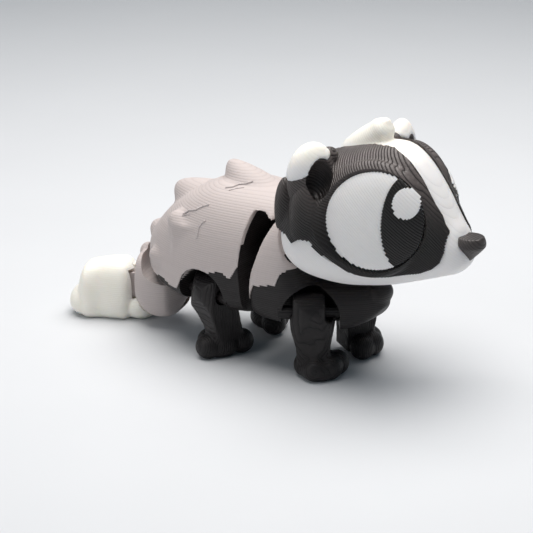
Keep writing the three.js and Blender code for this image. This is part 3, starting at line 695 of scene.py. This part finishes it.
front_well = well(FRONT_LEG)
front_cut = prism(FRONT_REAR_FACE + [(-20, 3), (-20, 20)], -20, 20)
head_room = [moved(head_form(0.4, 48), about(NECK, angle)) for angle in (-10, 0, 10)]
front_blank = shaped(front_form(0, 112), ("DIFFERENCE", front_cut),
                     *[("DIFFERENCE", room) for room in head_room],
                     ("MELT", (0.14, 2)), *both("DIFFERENCE", front_well))
mantle_edge = stepped(MANTLE_LINE, (0, 1))
grey = printed("grey filament, body", bump=0.022, **GREY)
black = printed("black filament, body", bump=0.03, **BLACK)
mantle = shaped(front_blank, ("INTERSECT", side_of(mantle_edge, True)))
dressed("front_mantle_cape", mantle, "front_body", grey, ["front_mantle"])

tongue = box_of(WAIST.x, -4.6, -TONGUE_HALF, TONGUE_HALF, WAIST_LOW, WAIST_HIGH)
barrel = rod("z", WAIST_HIGH - WAIST_LOW, BARREL, (WAIST.x, 0, (WAIST_LOW + WAIST_HIGH) / 2))
chest_blank = shaped(front_form(-0.12, 112), ("UNION", ball(3.8, 0, 8.1, (1.0, 1.5, 1.1))),
                     ("DIFFERENCE", front_cut),
                     *[("DIFFERENCE", room) for room in head_room],
                     ("INTERSECT", side_of([(-9, 12.2), (0, 12.2)], False)),
                     ("MELT", (0.14, 3)), *both("DIFFERENCE", front_well), ("UNION", tongue), ("UNION", barrel))
dressed("front_chest_shell", chest_blank, "front_body", black, ["front_chest"])

# Rear body.
# A grey shell of drawn-up fur points over a black belly, open in front for the tongue and roofed
# over it, with an arch on each side for the leg.

REAR_ROWS = [
    (-22.0, 1.9, 9.6, 6.2, 7.6), (-21.0, 2.9, 11.0, 5.8, 8.0), (-19.0, 4.5, 13.2, 5.2, 7.8),
    (-16.0, 5.9, 15.4, 4.9, 7.9), (-13.0, 6.6, 16.7, 4.8, 8.0), (-10.5, 6.7, 16.75, 4.8, 8.2),
    (-8.0, 6.5, 16.6, 4.9, 8.4), (-6.0, 6.2, 16.5, 5.2, 9.0), (-4.9, 6.0, 16.4, 5.4, 9.0),
]
SHELL_LINE = [
    (-23.5, 6.4), (-20.5, 6.2), (-18.0, 6.8), (-16.6, 6.3), (-15.5, 6.4), (-14.9, 7.4), (-14.3, 8.2), (-13.2, 8.4),
    (-12.1, 8.0), (-11.5, 8.9), (-10.4, 9.25), (-9.7, 9.3), (-8.9, 8.8), (-8.2, 10.0), (-7.6, 11.0), (-7.2, 11.4),
]
REAR_FRONT_FACE = [(-7.9, 0), (-7.7, 6), (-8.1, 9.7), (-7.9, 13.0), (-7.6, 15.3), (-6.5, 15.2), (-5.2, 14.5),
                   (-3, 14.2)]
BACK_POINTS = [
    ((-9.8, 0, 14.0), (-13.5, 0, 18.1), 3.3, 0.5), ((-14.4, 0, 11.9), (-19.8, 0, 14.6), 3.9, 0.55),
    ((-18.2, 0, 8.0), (-22.9, 0, 9.9), 3.1, 0.6),
]
SIDE_POINTS = [
    ((-14.1, -2.9, 10.6), (-16.8, -5.2, 13.4), 3.1, 0.6), ((-17.4, -2.7, 8.0), (-19.8, -4.7, 8.7), 2.4, 0.6),
]
WAIST_SWING = [-2, 0, 4, 8, 12, 16.5]
CORE_HIGH = 15.0
TAIL_ROOT = Vector((-20.5, 0, 0))


def rear_form(grow, fine=112):
    return loft(REAR_ROWS, back=1.4, front=1.0, upper=2.5, lower=4.5, grow=grow, rings=fine, sides=fine)


rear_well = well(REAR_LEG)
rear_cut = prism(REAR_FRONT_FACE + [(10, 14.2), (10, 0)], -20, 20)
WAIST_GAP = 0.35
tongue_room = box_of(WAIST.x, -4.6, -1.35, 1.35, WAIST_LOW - WAIST_GAP, WAIST_HIGH + WAIST_GAP)
waist_room = [moved(tongue_room, about(WAIST, angle)) for angle in WAIST_SWING]
waist_room.append(rod("z", WAIST_HIGH - WAIST_LOW + 0.7, BARREL + WAIST_GAP,
                      (WAIST.x, 0, (WAIST_LOW + WAIST_HIGH) / 2)))
front_room = shaped(front_form(0.3, 48), ("DIFFERENCE", moved(front_cut, Matrix.Translation((-0.3, 0, 0)))))
swing_room = waist_room + [moved(front_room, about(WAIST, angle)) for angle in WAIST_SWING]
core = shaped(rear_form(-0.5, 72), ("INTERSECT", box_of(-14, 0, -8, 8, 4, CORE_HIGH)))
drape = box_of(-16.1, -13, -5.9, -2, 6.6, 12.9)
fur = [fur_point(*point) for point in BACK_POINTS]
for point in SIDE_POINTS:
    fur += [fur_point(*point), moved(fur_point(*point), MIRROR)]
shell = shaped(rear_form(0, 128), *both("UNION", drape), *[("UNION", form) for form in fur],
               ("MELT", (0.17, 9)),
               ("DIFFERENCE", rear_cut), *[("DIFFERENCE", room) for room in swing_room],
               *both("DIFFERENCE", rear_well), ("MELT", (0.15, 3)), ("DIFFERENCE", core),
               ("INTERSECT", side_of(stepped(SHELL_LINE, (0, 1)), True)))


def thread(form, points, radius):
    """Lays a loose thread of filament on a form, through places given on the plane y = -5.6."""
    seen_from = direction(CAMERA_AZIMUTH, CAMERA_HEIGHT_ANGLE)
    surface = BVHTree.FromBMesh(form)
    laid = []
    for x, z in points:
        hit = surface.ray_cast(Vector((x, -5.6, z)) + seen_from * 20, -seen_from)[0]
        laid.append(hit + seen_from * radius * 0.1)
    for a, b in zip(laid, laid[1:]):
        made = bmesh.ops.create_cone(form, cap_ends=True, segments=8, radius1=radius, radius2=radius,
                                     depth=(b - a).length * 1.1)
        turn = Vector((0, 0, 1)).rotation_difference(b - a).to_matrix().to_4x4()
        bmesh.ops.transform(form, verts=made["verts"], matrix=Matrix.Translation((a + b) / 2) @ turn)


THREADS = [
    [(-10.0, 17.5), (-9.2, 17.75), (-8.4, 18.2), (-7.5, 18.45), (-6.9, 18.8)],
    [(-9.6, 17.3), (-8.7, 17.7), (-7.9, 17.95)],
    [(-14.9, 13.9), (-14.2, 14.4), (-13.4, 14.6), (-12.6, 15.1), (-11.9, 15.4)],
    [(-15.0, 13.7), (-14.5, 13.9), (-14.1, 14.0)],
    [(-12.3, 13.7), (-12.8, 13.3), (-13.1, 12.7), (-13.3, 11.8)],
]
for number, places in enumerate(THREADS):
    thread(shell, places, 0.06 if number % 2 else 0.1)
dressed("rear_shell_fur", shell, "rear_body", grey, ["rear_shell"])

belly = shaped(rear_form(-0.12), ("INTERSECT", side_of([(-24, 12.2), (-3, 12.2)], False)), ("UNION", core),
               ("DIFFERENCE", rear_cut), *[("DIFFERENCE", room) for room in swing_room],
               *both("DIFFERENCE", rear_well))
dressed("rear_belly_shell", belly, "rear_body", black, ["rear_belly"])

# Legs.
# Flat-backed black struts, printed on their sides and pressed on to short axles, each with three
# round toes and a heel.

FRONT_TOES, FRONT_HEEL = [(1.0, -0.75), (1.95, 0.45), (1.8, 1.8)], (-0.25, -0.2)
REAR_TOES, REAR_HEEL = [(0.2, -0.8), (1.2, 0.7), (1.9, 2.3)], (-0.6, 0.6)
FRONT_FACE = [(-1.65, 10), (-1.65, 6.4), (-1.95, 6.1), (-1.85, 5.0), (-1.35, 3.2), (-1.1, 0.5),
              (1.8, 0.5), (1.9, 3.4),
              (2.3, 5.6), (2.45, 6.4), (2.2, 6.1), (1.8, 5.7), (1.35, 6.1), (1.35, 10)]
REAR_FACE = [(-1.9, 10), (-1.9, 6.2), (-1.4, 5.1), (-0.6, 4.1), (0.0, 2.9), (0.0, 0.5), (1.9, 0.5), (1.9, 3.0),
             (1.75, 5.0), (1.7, 10)]
TOE = 1.22
KNUCKLE = 1.8


def leg_form(leg, outline, toes, heel):
    z, lean = leg["z"], leg["lean"]
    shank = moved(prism([(-KNUCKLE, z), (-1.6 - lean * 0.5, 3.6), (-1.6 - lean, 0.5), (1.6 - lean, 0.5),
                         (1.6 - lean * 0.5, 3.6), (KNUCKLE, z)], -3, 3), Matrix.Rotation(radians(-90), 4, "Z"))
    dome = leg["dome"]
    swell = ball(0.1, dome - KNUCKLE - 0.1, z - 1.2, (dome * 0.65, dome, dome * 1.3), 64)
    upper = shaped(shank, ("UNION", rod("x", 6, KNUCKLE, (0, 0, z))), ("INTERSECT", prism(outline, -4, 4)),
                   ("INTERSECT", swell))
    upper = moved(upper, at_leg(leg))
    pads = [ball(leg["x"] + x, -leg["y"] + y, TOE - 0.08, (TOE, TOE, TOE)) for x, y in [*toes, heel]]
    middle_toe = toes[1]
    sole = ball(leg["x"] + (middle_toe[0] + heel[0]) / 2, -leg["y"] + (middle_toe[1] + heel[1]) / 2,
                1.0, (2.0, 1.9, 1.3))
    bore = moved(rod("x", 9, 0.85, (0, 0, z)), at_leg(leg))
    return shaped(upper, *[("UNION", form) for form in [*pads, sole]], ("MELT", (0.12, 4)),
                  ("DIFFERENCE", bore), ("DIFFERENCE", box_of(-50, 50, -30, 30, -9, 0)))


for place_name, leg, *shape in (("front", FRONT_LEG, FRONT_FACE, FRONT_TOES, FRONT_HEEL),
                                ("rear", REAR_LEG, REAR_FACE, REAR_TOES, REAR_HEEL)):
    form = leg_form(leg, *shape)
    outward = Matrix.Rotation(radians(leg["turn"]), 3, "Z") @ Vector((0, -1, 0.12))
    for name, side_name, hand in (("R", "right", Matrix.Identity(4)), ("L", "left", MIRROR)):
        leg_black = printed(f"black filament, {place_name} {side_name} leg", axis=hand.to_3x3() @ outward,
                            bump=0.06, waver=0.5, **BLACK)
        dressed(f"{place_name}_leg_{name}_strut", form.copy(), f"{place_name}_leg_{side_name}",
                leg_black, [f"{place_name}_leg_{name}"], hand)

# Tail.
# A grey first piece hung under the rear body and an ivory tip forked round its barrel.

TAIL_TURN, TIP_TURN, TIP_HINGE = 13.5, 11, -4.3
TAIL_ROWS = [(-3.1, 2.8, 7.4, 2.7, 4.4), (-2.2, 3.2, 7.5, 1.5, 4.1), (-1.0, 3.3, 7.0, 0.9, 3.8),
             (0.4, 3.1, 6.2, 1.0, 3.6), (1.3, 2.6, 5.4, 1.2, 3.4)]
TIP_ROWS = [(-5.2, 2.1, 5.0, -0.1, 2.3), (-4.4, 2.4, 5.5, -0.2, 2.5), (-3.0, 2.1, 5.9, -0.2, 2.6),
            (-1.6, 2.3, 6.1, -0.2, 2.8), (-0.4, 2.2, 6.1, -0.2, 2.8), (0.5, 1.5, 5.9, 0.2, 2.8)]
TIP_LOW, TIP_HIGH = 2.4, 4.9


def tail_form(grow):
    return loft(TAIL_ROWS, back=0.6, front=1.4, upper=3.4, lower=3.2, grow=grow, rings=72, sides=72)


def tip_tongue(grow):
    middle, high = (TIP_LOW + TIP_HIGH) / 2, TIP_HIGH - TIP_LOW + 2 * grow
    bar = box_of(TIP_HINGE, -2.4, -0.7 - grow, 0.7 + grow, TIP_LOW - grow, TIP_HIGH + grow)
    return shaped(bar, ("UNION", rod("z", high, 1.15 + grow, (TIP_HINGE, 0, middle))))


AT_TAIL = about(TAIL_ROOT, TAIL_TURN) @ Matrix.Translation(TAIL_ROOT)
AT_TIP = AT_TAIL @ Matrix.Translation((TIP_HINGE, 0, 0)) @ Matrix.Rotation(radians(TIP_TURN), 4, "Z")
body_room = [moved(rear_form(0.3, 64), AT_TAIL.inverted() @ about(TAIL_ROOT, angle)) for angle in (-22, 0, 22)]
tail = shaped(tail_form(0), ("UNION", ball(-2.5, 0, 7.0, (0.9, 0.8, 1.0))), ("MELT", (0.12, 3)),
              ("UNION", tip_tongue(0)), *[("DIFFERENCE", room) for room in body_room],
              ("DIFFERENCE", rod("z", 8.6, 1.65, (0, 0, 6.0))))
dressed("tail_base_link", tail, "tail_base", grey, ["tail_base"], AT_TAIL)

tip_blank = loft(TIP_ROWS, back=0.9, front=1.8, upper=3.0, lower=3.0, rings=72, sides=72)
back_to_hinge = Matrix.Translation((-TIP_HINGE, 0, 0))
tip_room = [moved(form, Matrix.Rotation(radians(angle), 4, "Z") @ back_to_hinge)
            for form in (tip_tongue(0.35), tail_form(0.3)) for angle in (-22, 0, 22)]
tip = shaped(tip_blank, ("UNION", ball(-5.0, 0.2, 1.4, (1.5, 2.2, 1.6))),
             ("UNION", ball(0.8, 0, 1.3, (1.8, 2.0, 1.5))),
             ("MELT", (0.14, 5)), *[("DIFFERENCE", room) for room in tip_room],
             ("DIFFERENCE", box_of(-20, 20, -20, 20, -5, 0)))
ivory = printed("ivory filament, tail", bump=0.02, **IVORY)
dressed("tail_tip_fork", tip, "tail_tip", ivory, ["tail_tip"], AT_TIP)

# Pins and axles.
# Short printed rods that stay as the frame has them, in the plastic of the piece they sit in.

for node in ("neck_pin", "waist_pin", "front_axle_R", "front_axle_L", "rear_axle_R", "rear_axle_L"):
    frame["nodes"][node].data.materials.clear()
    frame["nodes"][node].data.materials.append(black)
frame["nodes"]["tail_pin"].data.materials.clear()
frame["nodes"]["tail_pin"].data.materials.append(grey)
frame["nodes"]["tip_pin"].data.materials.clear()
frame["nodes"]["tip_pin"].data.materials.append(ivory)
